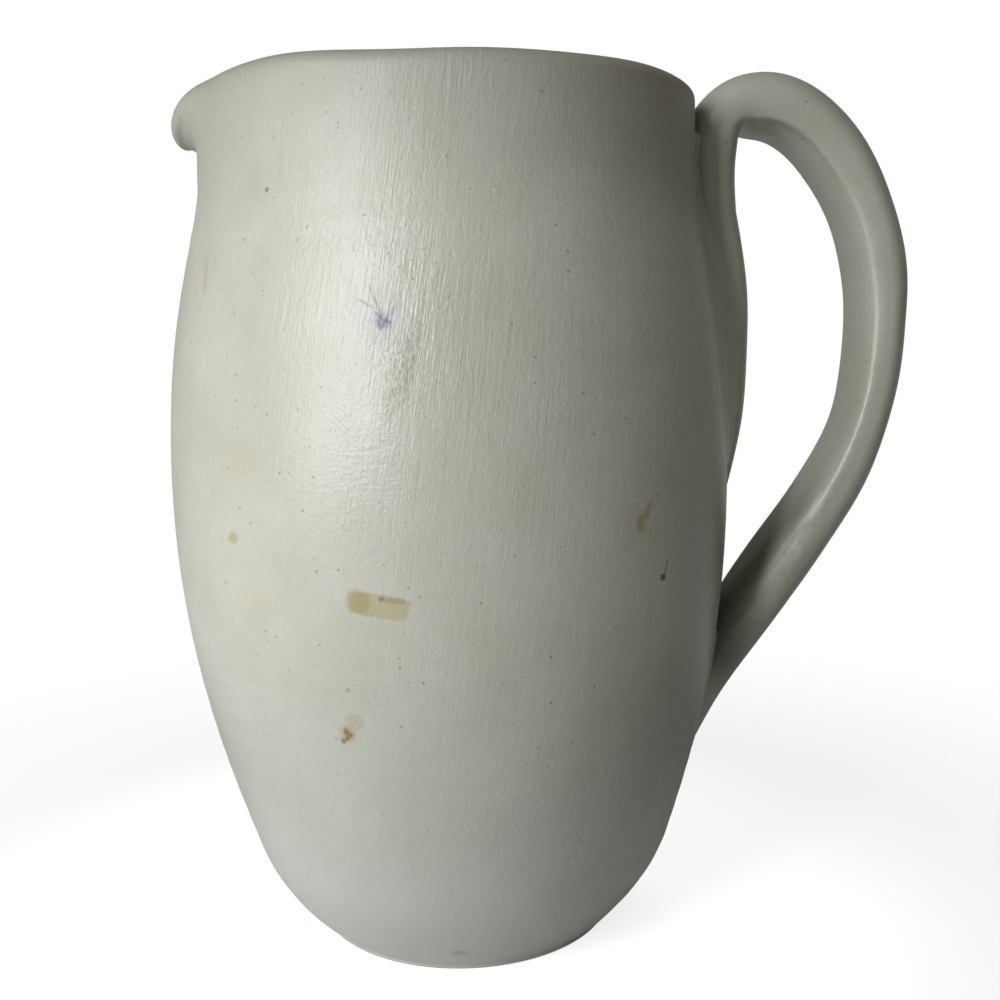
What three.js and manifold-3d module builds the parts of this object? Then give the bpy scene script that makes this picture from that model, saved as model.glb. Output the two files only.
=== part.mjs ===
// Stoneware pitcher: a body thrown on the wheel with a pouring lip pulled out of its rim,
// and a strap handle that is luted to the wall at both ends with a layer of clay slip.
// Millimetres, +Z up. The origin is the centre of the foot. The lip points along -X, the handle along +X.
import * as THREE from "three";
import { mergeVertices } from "three/addons/utils/BufferGeometryUtils.js";
import Module from "manifold-3d";

const wasm = await Module();
wasm.setup();

// Thrown body: radii are of the outside, heights are above the foot
const HEIGHT = 208;
const FOOT_RADIUS = 38;
const FOOT_EDGE = 1.2; // height of the soft edge around the foot
const HEEL_RADIUS = 53.7;
const HEEL_HEIGHT = 24;
const HEEL_FLARE = 0.32; // outward run per unit of height where the heel meets the belly
const BELLY_RADIUS = 69.4;
const BELLY_HEIGHT = 114;
const NECK_RADIUS = 60.8;
const NECK_DROP = 22; // from the rim down to the neck
const RIM_RADIUS = 60.6;
const WALL = 6.5;
const RIM_WALL = 6;
const FLOOR = 9;
const FLOOR_RADIUS = 30; // flat part of the inside floor
const HEEL_LEAD = 0.27; // leads: shares of the height between two levels, for how full the curve is
const BELLY_LEAD_DOWN = 0.42;
const BELLY_LEAD_UP = 0.58;
const NECK_LEAD = 0.14;
const RIM_SAG = 1.4; // how much lower the hand-thrown rim is half way between lip and handle
const RIM_RISE = 0.7; // how much higher it is to either side of the lip, where the pulling pushes it up
const RIM_RISE_ANGLE = THREE.MathUtils.degToRad(54); // from the lip's middle
const RIM_RISE_SPREAD = THREE.MathUtils.degToRad(32);
const LIP_ROUND = 3.4; // outer rounding of the rim, the inner one takes the rest of the rim's wall

// Pouring lip: the top of the wall is drawn outwards and down over a finger's width
const SPOUT_DEPTH = 14; // height of wall that is bent
const SPOUT_DIP = 2; // how much of that height the pulling uses up
const SPOUT_CURL = 0.6; // share of the lip's length over which it bends, the rest is straight
const SPOUT_BEND = THREE.MathUtils.degToRad(85);
const SPOUT_HALF_ANGLE = THREE.MathUtils.degToRad(30);

// Strap handle: stand-offs are from the wall's outside to the middle of the strap
const STRAP_THICKNESS = 15.2; // near its two ends
const BOW_THICKNESS = 12.6; // at the slimmest, below the middle of the bow
const WAIST_START = 0.42; // the slimmer stretch of the strap, as shares of its length from the upper end
const WAIST_LENGTH = 0.42;
const STRAP_BREADTH = 23;
const INNER_FULLNESS = 0.7; // the section's curves: 1 is an ellipse, less fills the corners out
const OUTER_FULLNESS = 0.85;
const TIP_THICKNESS = 6;
const TIP_BREADTH = 17;
const UPPER_TIP_HEIGHT = 106;
const UPPER_TIP_SINK = 3.2; // the smeared ends lie below the wall's surface
const TAIL_DROP = 30; // from the rim down to where the strap leaves the wall
const TAIL_STANDOFF = 3.6;
const TAIL_MIDDLE_STANDOFF = 2.4;
const TAIL_LEAN = 3.8; // how far the strap leans back over the wall before it turns into the arch
const ARCH_DROP = 2.5; // from the rim down to the top of the arch
const ARCH_STANDOFF = 17;
const BOW_HEIGHT = 157;
const BOW_STANDOFF = 42.4;
const LOWER_ROOT_HEIGHT = 73.5;
const LOWER_ROOT_STANDOFF = 6.2;
const LOWER_ROOT_SLOPE = 1.5; // fall of the strap per unit of run towards the wall
const LOWER_TIP_HEIGHT = 36;
const LOWER_TIP_SINK = 3.4;
const UPPER_TAPER = 120; // length over which each end thins down to its tip
const LOWER_TAPER = 54;
const TIP_ROUND = 26; // length over which the strap's breadth rounds off at each tip

// Luting slip: a thin layer between the strap and the wall that squeezes out around the joint
const SLIP = 0.8;
const SLIP_BEAD = 2;
const SLIP_TOP_DROP = 8; // from the rim down to the slip's upper edge
const CLEARANCE = 0.3;

// Facets
const TURN_STEPS = 84;
const STRAP_SIDES = 24;

const CLAY = { color: 0xc6c6bc, roughness: 0.45, metalness: 0 };
const SLIP_CLAY = { color: 0xb4b2a6, roughness: 0.6, metalness: 0 };

const neckHeight = HEIGHT - NECK_DROP;
const rimShoulder = HEIGHT - LIP_ROUND;

// The wall's curves from the heel up to the neck, set in from the outside by a wall's thickness
function wallCurves(inset) {
  const heelRadius = HEEL_RADIUS - inset * Math.hypot(1, HEEL_FLARE);
  const bellyRadius = BELLY_RADIUS - inset;
  const neckRadius = NECK_RADIUS - inset;
  const bellyRise = BELLY_HEIGHT - HEEL_HEIGHT;
  const neckRise = neckHeight - BELLY_HEIGHT;
  const heel = new THREE.Vector2(heelRadius, HEEL_HEIGHT);
  const belly = new THREE.Vector2(bellyRadius, BELLY_HEIGHT);
  const neck = new THREE.Vector2(neckRadius, neckHeight);
  const heelLead = new THREE.Vector2(HEEL_FLARE, 1).multiplyScalar(bellyRise * HEEL_LEAD);
  const lower = new THREE.CubicBezierCurve(
    heel,
    heel.clone().add(heelLead),
    new THREE.Vector2(bellyRadius, BELLY_HEIGHT - bellyRise * BELLY_LEAD_DOWN),
    belly,
  );
  const upper = new THREE.CubicBezierCurve(
    belly,
    new THREE.Vector2(bellyRadius, BELLY_HEIGHT + neckRise * BELLY_LEAD_UP),
    new THREE.Vector2(neckRadius, neckHeight - neckRise * NECK_LEAD),
    neck,
  );
  return { heel, neck, lower, upper };
}

// Outside of the wall from the foot's edge to the rim's shoulder, as (radius, height)
function outerWall() {
  const { heel, neck, lower, upper } = wallCurves(0);
  const footTop = new THREE.Vector2(FOOT_RADIUS, FOOT_EDGE);
  const heelBulge = new THREE.Vector2(heel.x - HEEL_FLARE * HEEL_HEIGHT / 2, HEEL_HEIGHT / 2);
  const underside = new THREE.QuadraticBezierCurve(footTop, heelBulge, heel);
  const collar = new THREE.LineCurve(neck, new THREE.Vector2(RIM_RADIUS, rimShoulder));
  return joinCurves([[underside, 4], [lower, 6], [upper, 6], [collar, 9]]);
}

// Inside of the wall from the floor up to the rim, as (radius, height)
function innerWall() {
  const { heel, neck, lower, upper } = wallCurves(WALL);
  const floorEdge = new THREE.Vector2(FLOOR_RADIUS, FLOOR);
  const floorCorner = new THREE.Vector2(heel.x - HEEL_FLARE * (HEEL_HEIGHT - FLOOR), FLOOR);
  const rim = new THREE.Vector2(RIM_RADIUS - RIM_WALL, HEIGHT - (RIM_WALL - LIP_ROUND));
  const floorCurve = new THREE.QuadraticBezierCurve(floorEdge, floorCorner, heel);
  const collar = new THREE.LineCurve(neck, rim);
  return joinCurves([[floorCurve, 4], [lower, 4], [upper, 4], [collar, 9]]);
}

// Points along several curves in turn, with each shared end taken once
function joinCurves(list) {
  const points = [];
  for (const [curve, steps] of list) {
    points.push(...curve.getPoints(steps).slice(points.length ? 1 : 0));
  }
  return points;
}

// The rounded top of the rim, from the outer shoulder over to the inside
function rimRound() {
  const innerRound = RIM_WALL - LIP_ROUND;
  const crest = RIM_RADIUS - LIP_ROUND;
  const outer = new THREE.EllipseCurve(crest, rimShoulder, LIP_ROUND, LIP_ROUND, 0, Math.PI / 2);
  const innerCentre = HEIGHT - innerRound;
  const inner = new THREE.EllipseCurve(crest, innerCentre, innerRound, innerRound, Math.PI / 2, Math.PI);
  return [...outer.getPoints(4).slice(1), ...inner.getPoints(3).slice(1, -1)];
}

// A profile turned about the upright axis
function turned(profile) {
  const geometry = new THREE.LatheGeometry(profile, TURN_STEPS);
  geometry.rotateX(Math.PI / 2);
  return geometry;
}

// Draws the pouring lip out of the turned rim: the wall curls outwards about a level line at the lip's root
function pullSpout(geometry) {
  const position = geometry.getAttribute("position");
  const rootHeight = HEIGHT - SPOUT_DEPTH;
  const middle = RIM_RADIUS - RIM_WALL / 2;
  for (let i = 0; i < position.count; i++) {
    const x = position.getX(i);
    const y = position.getY(i);
    const rise = position.getZ(i) - rootHeight;
    const turn = Math.atan2(y, -x) / SPOUT_HALF_ANGLE;
    if (rise <= 0 || Math.abs(turn) >= 1) continue;
    const pull = Math.cos(turn * Math.PI / 2) ** 2;
    const bend = Math.max(SPOUT_BEND * pull, 1e-4);
    const length = SPOUT_DEPTH - SPOUT_DIP * pull;
    const along = length * rise / SPOUT_DEPTH;
    const curl = length * SPOUT_CURL;
    const angle = bend * Math.min(along / curl, 1);
    const straight = Math.max(along - curl, 0);
    const radius = Math.hypot(x, y);
    const depth = radius - middle;
    const run = curl / bend * (1 - Math.cos(angle)) + straight * Math.sin(angle);
    const climb = curl / bend * Math.sin(angle) + straight * Math.cos(angle);
    const outwards = middle + run + depth * Math.cos(angle);
    const upwards = rootHeight + climb - depth * Math.sin(angle);
    position.setXYZ(i, x / radius * outwards, y / radius * outwards, upwards);
  }
  return geometry;
}

// Lowers the rim a little towards its two sides and lifts it beside the lip, as a drawn-out rim settles
function sagRim(geometry) {
  const position = geometry.getAttribute("position");
  for (let i = 0; i < position.count; i++) {
    const x = position.getX(i);
    const y = position.getY(i);
    const z = position.getZ(i);
    const side = y ** 2 / Math.max(x ** 2 + y ** 2, 1e-6);
    const offset = (Math.abs(Math.atan2(y, -x)) - RIM_RISE_ANGLE) / RIM_RISE_SPREAD;
    const rise = Math.cos(THREE.MathUtils.clamp(offset, -1, 1) * Math.PI / 2) ** 2;
    const share = THREE.MathUtils.smoothstep(z, neckHeight, HEIGHT);
    position.setZ(i, z + (RIM_RISE * rise - RIM_SAG * side ** 2) * share);
  }
  return geometry;
}

// The wall's outside radius at a height
const wallPoints = outerWall();
function wallRadius(height) {
  const above = wallPoints.findIndex((p) => p.y >= height);
  if (above < 0) return RIM_RADIUS;
  if (above === 0) return FOOT_RADIUS;
  const low = wallPoints[above - 1];
  const high = wallPoints[above];
  return THREE.MathUtils.mapLinear(height, low.y, high.y, low.x, high.x);
}

// A point of the handle's middle line, at a height and a stand-off from the wall
function fromWall(height, standoff) {
  return new THREE.Vector3(wallRadius(height) + standoff, 0, height);
}

// Middle line of the strap: up the wall, over the arch, round the bow and down into the wall again
function strapLine() {
  const tailTop = fromWall(HEIGHT - TAIL_DROP, TAIL_STANDOFF);
  const tailMiddleHeight = (UPPER_TIP_HEIGHT + HEIGHT - TAIL_DROP) / 2;
  const arch = fromWall(HEIGHT - ARCH_DROP, ARCH_STANDOFF);
  const bow = fromWall(BOW_HEIGHT, BOW_STANDOFF);
  const root = fromWall(LOWER_ROOT_HEIGHT, LOWER_ROOT_STANDOFF);
  const lowerTip = fromWall(LOWER_TIP_HEIGHT, -LOWER_TIP_SINK);
  const rootWay = new THREE.Vector3(1, 0, LOWER_ROOT_SLOPE).normalize();
  const archRise = arch.z - bow.z;
  const bowFall = bow.z - root.z;
  const tail = new THREE.CatmullRomCurve3([
    fromWall(UPPER_TIP_HEIGHT, -UPPER_TIP_SINK),
    fromWall(tailMiddleHeight, TAIL_MIDDLE_STANDOFF),
    tailTop,
  ]);
  const crook = new THREE.CubicBezierCurve3(
    tailTop,
    new THREE.Vector3(tailTop.x - TAIL_LEAN, 0, tailTop.z + (arch.z - tailTop.z) * 0.85),
    new THREE.Vector3(arch.x - (arch.x - tailTop.x) * 0.7, 0, arch.z),
    arch,
  );
  const upperBow = new THREE.CubicBezierCurve3(
    arch,
    new THREE.Vector3(arch.x + (bow.x - arch.x) * 0.54, 0, arch.z),
    new THREE.Vector3(bow.x, 0, bow.z + archRise * 0.45),
    bow,
  );
  const lowerBow = new THREE.CubicBezierCurve3(
    bow,
    new THREE.Vector3(bow.x, 0, bow.z - bowFall * 0.48),
    root.clone().addScaledVector(rootWay, bowFall * 0.53),
    root,
  );
  const foot = new THREE.CubicBezierCurve3(
    root,
    root.clone().addScaledVector(rootWay, -(root.z - lowerTip.z) * 0.4),
    fromWall(THREE.MathUtils.lerp(LOWER_ROOT_HEIGHT, LOWER_TIP_HEIGHT, 0.6), 0),
    lowerTip,
  );
  const steps = [[tail, 10], [crook, 9], [upperBow, 12], [lowerBow, 14], [foot, 9]];
  return joinCurves(steps);
}

// The strap as a loft of sections along its middle line, grown on all sides by a margin
function strapGeometry(line, margin) {
  const along = [0];
  for (let i = 1; i < line.length; i++) along.push(along[i - 1] + line[i].distanceTo(line[i - 1]));
  const total = along.at(-1);
  const rings = line.map((centre, i) => {
    const way = line[Math.min(i + 1, line.length - 1)].clone().sub(line[Math.max(i - 1, 0)]).normalize();
    const across = new THREE.Vector3(way.z, 0, -way.x);
    const upperShare = THREE.MathUtils.smoothstep(along[i], 0, UPPER_TAPER);
    const lowerShare = THREE.MathUtils.smoothstep(total - along[i], 0, LOWER_TAPER);
    const share = Math.min(upperShare, lowerShare);
    const waistShare = THREE.MathUtils.clamp((along[i] / total - WAIST_START) / WAIST_LENGTH, 0, 1);
    const waist = Math.sin(Math.PI * waistShare) ** 2;
    const fullThick = THREE.MathUtils.lerp(STRAP_THICKNESS, BOW_THICKNESS, waist);
    const halfThick = THREE.MathUtils.lerp(TIP_THICKNESS, fullThick, share) / 2 + margin;
    const roundShare = THREE.MathUtils.smoothstep(Math.min(along[i], total - along[i]), 0, TIP_ROUND);
    const halfBroad = THREE.MathUtils.lerp(TIP_BREADTH, STRAP_BREADTH, roundShare) / 2 + margin;
    const outset = i === 0 ? -margin : i === line.length - 1 ? margin : 0;
    return sectionRing(centre.clone().addScaledVector(way, outset), across, halfThick, halfBroad);
  });
  return loft(rings);
}

// One section of the pulled strap: flat with soft corners on the finger side, round on the back
function sectionRing(centre, across, halfThick, halfBroad) {
  const ring = [];
  for (let k = 0; k < STRAP_SIDES; k++) {
    const angle = (k / STRAP_SIDES) * 2 * Math.PI;
    const c = Math.cos(angle);
    const s = Math.sin(angle);
    const fullness = c > 0 ? INNER_FULLNESS : OUTER_FULLNESS;
    const thick = halfThick * Math.sign(c) * Math.abs(c) ** fullness;
    const broad = halfBroad * Math.sign(s) * Math.abs(s) ** fullness;
    ring.push(centre.clone().addScaledVector(across, thick).setY(broad));
  }
  return ring;
}

// A closed skin over rings of equal size, with a fan at each end
function loft(rings) {
  const sides = rings[0].length;
  const vertices = rings.flat();
  const faces = [];
  for (let i = 0; i + 1 < rings.length; i++) {
    for (let k = 0; k < sides; k++) {
      const a = i * sides + k;
      const b = i * sides + ((k + 1) % sides);
      faces.push(a, b, a + sides, b, b + sides, a + sides);
    }
  }
  const capEnd = (ring, first, flip) => {
    const middle = vertices.length;
    vertices.push(ring.reduce((sum, p) => sum.add(p), new THREE.Vector3()).divideScalar(sides));
    for (let k = 0; k < sides; k++) {
      const a = first + k;
      const b = first + ((k + 1) % sides);
      if (flip) faces.push(middle, b, a);
      else faces.push(middle, a, b);
    }
  };
  capEnd(rings[0], 0, true);
  capEnd(rings.at(-1), (rings.length - 1) * sides, false);
  const geometry = new THREE.BufferGeometry().setFromPoints(vertices);
  geometry.setIndex(faces);
  return geometry;
}

// The solid inside the wall's outside up to a height, grown by a distance square to the wall
function wallCore(distance, topHeight) {
  const reach = wallPoints.filter((p) => p.y < topHeight - CLEARANCE);
  reach.push(new THREE.Vector2(wallRadius(topHeight), topHeight));
  const grown = reach.map((p, i) => {
    const before = reach[Math.max(i - 1, 0)];
    const after = reach[Math.min(i + 1, reach.length - 1)];
    const way = after.clone().sub(before).normalize();
    return new THREE.Vector2(p.x + way.y * distance, p.y - way.x * distance);
  });
  const bottom = new THREE.Vector2(0, grown[0].y);
  const top = new THREE.Vector2(0, grown.at(-1).y);
  return solid(turned([bottom, ...grown, top]));
}

// A closed geometry as a solid for cutting and joining
function solid(geometry) {
  const bare = geometry.clone();
  bare.deleteAttribute("normal");
  bare.deleteAttribute("uv");
  const merged = mergeVertices(bare, 1e-3);
  const mesh = new wasm.Mesh({
    numProp: 3,
    vertProperties: merged.getAttribute("position").array,
    triVerts: new Uint32Array(merged.index.array),
  });
  return new wasm.Manifold(mesh);
}

// A solid back as a geometry
function skin(body) {
  const mesh = body.getMesh();
  const geometry = new THREE.BufferGeometry();
  geometry.setAttribute("position", new THREE.BufferAttribute(mesh.vertProperties, 3));
  geometry.setIndex(new THREE.BufferAttribute(mesh.triVerts, 1));
  geometry.computeVertexNormals();
  return geometry;
}

function piece(name, geometry, finish) {
  const mesh = new THREE.Mesh(geometry, new THREE.MeshStandardMaterial(finish));
  mesh.name = name;
  return mesh;
}

// Thrown body
const outline = [new THREE.Vector2(0, 0), new THREE.Vector2(FOOT_RADIUS - FOOT_EDGE, 0)];
outline.push(...wallPoints, ...rimRound(), ...innerWall().reverse(), new THREE.Vector2(0, FLOOR));
const thrownBody = piece("thrown_body", sagRim(pullSpout(turned(outline))), CLAY);

// Strap handle, cut back to leave room for the slip
const line = strapLine();
const slipInside = wallCore(CLEARANCE, HEIGHT);
const slipOutside = wallCore(CLEARANCE + SLIP, HEIGHT - SLIP_TOP_DROP);
const strapSeat = wallCore(CLEARANCE + SLIP + CLEARANCE, HEIGHT + STRAP_THICKNESS);
const strap = solid(strapGeometry(line, 0)).subtract(strapSeat);
const strapHandle = piece("strap_handle", skin(strap), CLAY);

// Luting slip under the two ends of the strap
const slipLayer = slipOutside.subtract(slipInside).intersect(solid(strapGeometry(line, SLIP_BEAD)));
const slipPatches = slipLayer.decompose().sort((a, b) => b.boundingBox().max[2] - a.boundingBox().max[2]);
const upperSlip = piece("upper_luting_slip", skin(slipPatches[0]), SLIP_CLAY);
const lowerSlip = piece("lower_luting_slip", skin(slipPatches[1]), SLIP_CLAY);

const pitcher = new THREE.Group();
pitcher.name = "stoneware_pitcher";
pitcher.add(thrownBody, strapHandle, upperSlip, lowerSlip);

export default pitcher;
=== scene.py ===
import math

import bpy
import numpy as np
from mathutils import Matrix, Vector


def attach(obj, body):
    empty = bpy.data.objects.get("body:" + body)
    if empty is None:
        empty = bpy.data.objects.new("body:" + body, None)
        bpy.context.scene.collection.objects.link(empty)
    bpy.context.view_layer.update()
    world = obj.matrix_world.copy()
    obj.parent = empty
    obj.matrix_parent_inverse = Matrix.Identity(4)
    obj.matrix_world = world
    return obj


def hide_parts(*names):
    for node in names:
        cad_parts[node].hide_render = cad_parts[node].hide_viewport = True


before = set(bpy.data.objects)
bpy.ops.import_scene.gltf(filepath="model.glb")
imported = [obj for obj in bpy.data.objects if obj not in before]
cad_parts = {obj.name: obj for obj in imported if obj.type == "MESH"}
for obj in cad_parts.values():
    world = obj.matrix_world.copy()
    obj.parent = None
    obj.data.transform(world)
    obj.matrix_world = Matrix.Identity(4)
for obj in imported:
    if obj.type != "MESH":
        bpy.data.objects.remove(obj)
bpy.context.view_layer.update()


# Thrown body: the floor, wall, rim and pouring lip are one lump of buff stoneware clay, thrown on the wheel.
# The lip is pulled out of the soft rim with a finger. All but the foot wears a pale satin glaze, laid on
# by brush. Sizes are in millimetres.
MM = 0.001
HEIGHT = 208.0
FOOT_RADIUS = 38.0
FOOT_EDGE = 1.2
FOOT_HOLLOW = 0.7  # the underside is a little hollow inside its standing ring
FOOT_RING = 7.0
HEEL_RADIUS = 53.7
HEEL_HEIGHT = 24.0
HEEL_FLARE = 0.32
BELLY_RADIUS = 69.4
BELLY_HEIGHT = 114.0
NECK_RADIUS = 60.8
NECK_HEIGHT = 186.0
RIM_RADIUS = 60.6
RIM_WALL = 6.0
LIP_ROUND = 3.4
WALL = 6.5
FLOOR = 9.0
FLOOR_RADIUS = 30.0
RIM_SAG = 1.4
RIM_RISE = 0.7
RIM_RISE_ANGLE = math.radians(54.0)
RIM_RISE_SPREAD = math.radians(32.0)
SPOUT_DEPTH = 14.0
SPOUT_DIP = 2.0
SPOUT_CURL = 0.6
SPOUT_BEND = math.radians(85.0)
SPOUT_HALF_ANGLE = math.radians(30.0)
SPOUT_CREASE = 0.5  # depth of the crease under the lip's edge
AXIS_LEAN = 0.75
BODY_COLUMNS = 384
MIDDLE_HOLE = 2.0  # radius of the last ring around the middle of the floor and the underside


def smooth(low, high, value):
    """0 at low, 1 at high, and an even S between them."""
    share = np.clip((value - low) / (high - low), 0.0, 1.0)
    return share * share * (3.0 - 2.0 * share)


def bezier(points, count):
    rows = [np.asarray(p, float) for p in points]
    t = np.linspace(0.0, 1.0, count)[:, None]
    while len(rows) > 1:
        rows = [a + (b - a) * t for a, b in zip(rows, rows[1:])]
    return rows[0]


def spaced(points, spacing):
    """The same line with points at even steps."""
    along = np.concatenate([[0.0], np.cumsum(np.hypot(*np.diff(points, axis=0).T))])
    even = np.linspace(0.0, along[-1], int(along[-1] / spacing) + 1)
    return np.column_stack([np.interp(even, along, points[:, k]) for k in range(2)])


def wall_curves(inset):
    """The wall from the heel over the belly to the neck, as (radius, height), set in by a thickness."""
    heel = np.array([HEEL_RADIUS - inset * math.hypot(1.0, HEEL_FLARE), HEEL_HEIGHT])
    belly = np.array([BELLY_RADIUS - inset, BELLY_HEIGHT])
    neck = np.array([NECK_RADIUS - inset, NECK_HEIGHT])
    belly_rise = BELLY_HEIGHT - HEEL_HEIGHT
    neck_rise = NECK_HEIGHT - BELLY_HEIGHT
    heel_handle = heel + np.array([HEEL_FLARE, 1.0]) * belly_rise * 0.27
    lower = [heel, heel_handle, belly - [0.0, belly_rise * 0.42], belly]
    upper = [belly, belly + [0.0, neck_rise * 0.58], neck - [0.0, neck_rise * 0.14], neck]
    return np.vstack([bezier(lower, 200), bezier(upper, 160)[1:]])


# Profile: from the middle of the underside over the foot, wall and rim, down the inside to the floor's middle
outside = wall_curves(0.0)
inside = wall_curves(WALL)
heel_bulge = (HEEL_RADIUS - HEEL_FLARE * HEEL_HEIGHT / 2.0, HEEL_HEIGHT / 2.0)
under_heel = bezier([(FOOT_RADIUS, FOOT_EDGE), heel_bulge, outside[0]], 60)
outer_line = spaced(np.vstack([under_heel, outside[1:], [(RIM_RADIUS, HEIGHT - LIP_ROUND)]]), 1.0)
floor_corner = (inside[0, 0] - HEEL_FLARE * (HEEL_HEIGHT - FLOOR), FLOOR)
floor_curve = bezier([(FLOOR_RADIUS, FLOOR), floor_corner, inside[0]], 60)
rim_inner_round = RIM_WALL - LIP_ROUND
rim_inside = (RIM_RADIUS - RIM_WALL, HEIGHT - rim_inner_round)
inner_line = spaced(np.vstack([floor_curve, inside[1:], [rim_inside]]), 1.3)[::-1]
quarter = np.linspace(0.0, math.pi / 2.0, 11)
rim_crest = RIM_RADIUS - LIP_ROUND
rim_outer_arc = np.column_stack([rim_crest + LIP_ROUND * np.cos(quarter),
                                 HEIGHT - LIP_ROUND + LIP_ROUND * np.sin(quarter)])
rim_inner_arc = np.column_stack([rim_crest - rim_inner_round * np.sin(quarter),
                                 rim_inside[1] + rim_inner_round * np.cos(quarter)])
foot_arc = np.column_stack([FOOT_RADIUS - FOOT_EDGE + FOOT_EDGE * np.sin(quarter),
                            FOOT_EDGE - FOOT_EDGE * np.cos(quarter)])
base_radii = np.linspace(MIDDLE_HOLE, FOOT_RADIUS - FOOT_EDGE - 0.8, 34)
base_rise = FOOT_HOLLOW * smooth(FOOT_RADIUS - 2.0, FOOT_RADIUS - FOOT_RING, base_radii)
base_line = np.column_stack([base_radii, base_rise])
floor_radii = np.linspace(FLOOR_RADIUS - 1.3, MIDDLE_HOLE, 22)
floor_line = np.column_stack([floor_radii, np.full_like(floor_radii, FLOOR)])
profile = np.vstack([base_line, foot_arc, outer_line[1:], rim_outer_arc[1:], rim_inner_arc[1:],
                     inner_line[1:], floor_line])
outer_start = len(base_line) + len(foot_arc) - 1
rim_start = outer_start + len(outer_line)
inner_start = rim_start + len(rim_outer_arc) + len(rim_inner_arc) - 3


def wall_offset(height, turn):
    """How far the hand-thrown outside stands off its ideal curve: slow wobble and faint throwing rings."""
    wobble = 0.16 * np.sin(2.0 * turn + height / 37.0) + 0.12 * np.sin(3.0 * turn - height / 29.0 + 1.7)
    wobble += 0.07 * np.sin(5.0 * turn + height / 17.0 + 0.6)
    strength = 0.5 + 0.5 * np.sin(height / 21.0 + 1.2 * np.sin(turn + 0.8))
    rings = 0.03 * strength * np.sin(2.0 * math.pi * height / 6.8 + turn + 0.9 * np.sin(2.0 * turn))
    return wobble + rings


def axis_drift(height):
    """The wall leans to and fro as it rises: towards the handle at the heel, to the lip at the belly."""
    lower = AXIS_LEAN * np.cos(math.pi * np.clip(height, 8.0, 125.0) / 125.0)
    return np.where(height < 125.0, lower, -AXIS_LEAN * (1.0 - smooth(140.0, 200.0, height)))


# The turned wall, with the wobble outside and the throwing rings inside
turns = np.linspace(0.0, 2.0 * math.pi, BODY_COLUMNS, endpoint=False)[None, :]
radius = np.repeat(profile[:, :1], BODY_COLUMNS, axis=1)
level = np.repeat(profile[:, 1:], BODY_COLUMNS, axis=1)
tangent = np.gradient(profile, axis=0)
tangent /= np.hypot(tangent[:, 0], tangent[:, 1])[:, None]
row = np.arange(len(profile))[:, None]
on_outside = smooth(outer_start, outer_start + 10.0, row)
on_outside = on_outside * (1.0 - smooth(inner_start - 6.0, inner_start + 4.0, row))
on_inside = smooth(inner_start, inner_start + 14.0, row)
stand_off = wall_offset(level, turns) * on_outside
inner_rings = 0.32 * np.sin(2.0 * math.pi * level / 7.6 + turns + 0.5 * np.sin(2.0 * turns + 1.0))
floor_rings = 0.3 * np.sin(2.0 * math.pi * radius / 8.2 - turns)
in_wall = smooth(FLOOR + 6.0, FLOOR + 22.0, level) * (1.0 - smooth(HEIGHT - 20.0, HEIGHT - 4.0, level))
on_floor = (1.0 - smooth(FLOOR + 1.0, FLOOR + 8.0, level)) * smooth(4.0, 14.0, radius)
stand_off += on_inside * (inner_rings * in_wall + floor_rings * on_floor)
radius = radius + stand_off * tangent[:, 1:]
level = level - stand_off * tangent[:, :1]

# The pouring lip: the top of the wall curls outwards and down about a level line at the lip's root
from_lip = np.abs(np.angle(np.exp(1j * (turns - math.pi))))
rise = level - (HEIGHT - SPOUT_DEPTH)
lip_turn = np.clip(from_lip / SPOUT_HALF_ANGLE, 0.0, 1.0)
pull = np.where(from_lip < SPOUT_HALF_ANGLE, np.cos(lip_turn * math.pi / 2.0) ** 2, 0.0)
lip_edge = HEIGHT - LIP_ROUND - 0.6
crease = SPOUT_CREASE * smooth(0.35, 0.8, pull) * np.exp(-((level - lip_edge) / 0.9) ** 2)
radius = radius - np.where(row < rim_start + 3, crease, 0.0)
bend = np.maximum(SPOUT_BEND * pull, 1e-4)
length = SPOUT_DEPTH - SPOUT_DIP * pull
reach = length * np.maximum(rise, 0.0) / SPOUT_DEPTH
curl = length * SPOUT_CURL
angle = bend * np.minimum(reach / curl, 1.0)
straight = np.maximum(reach - curl, 0.0)
middle = RIM_RADIUS - RIM_WALL / 2.0
depth = radius - middle
curl_out = curl / bend * (1.0 - np.cos(angle))
curl_up = curl / bend * np.sin(angle)
pulled_radius = middle + curl_out + straight * np.sin(angle) + depth * np.cos(angle)
pulled_level = HEIGHT - SPOUT_DEPTH + curl_up + straight * np.cos(angle) - depth * np.sin(angle)
in_lip = (rise > 0.0) & (from_lip < SPOUT_HALF_ANGLE)
radius = np.where(in_lip, pulled_radius, radius)
level = np.where(in_lip, pulled_level, level)

# The rim sags towards its sides, rises beside the lip and runs in slight waves
near_rim = smooth(NECK_HEIGHT, HEIGHT, level)
beside = np.clip((from_lip - RIM_RISE_ANGLE) / RIM_RISE_SPREAD, -1.0, 1.0)
beside = np.cos(beside * math.pi / 2.0) ** 2
waves = 0.18 * np.sin(4.0 * turns + 0.7) + 0.1 * np.sin(9.0 * turns + 2.1)
level = level + near_rim * (RIM_RISE * beside - RIM_SAG * np.sin(turns) ** 4 + waves)
body_points = np.stack([radius * np.cos(turns) + axis_drift(level), radius * np.sin(turns), level], axis=-1)


def grid_faces(rows, columns):
    """Four-cornered faces of a grid whose columns close into a ring."""
    i, j = np.meshgrid(np.arange(rows - 1), np.arange(columns), indexing="ij")
    k = (j + 1) % columns
    corners = [i * columns + j, i * columns + k, (i + 1) * columns + k, (i + 1) * columns + j]
    return np.stack(corners, axis=-1).reshape(-1, 4)


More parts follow.
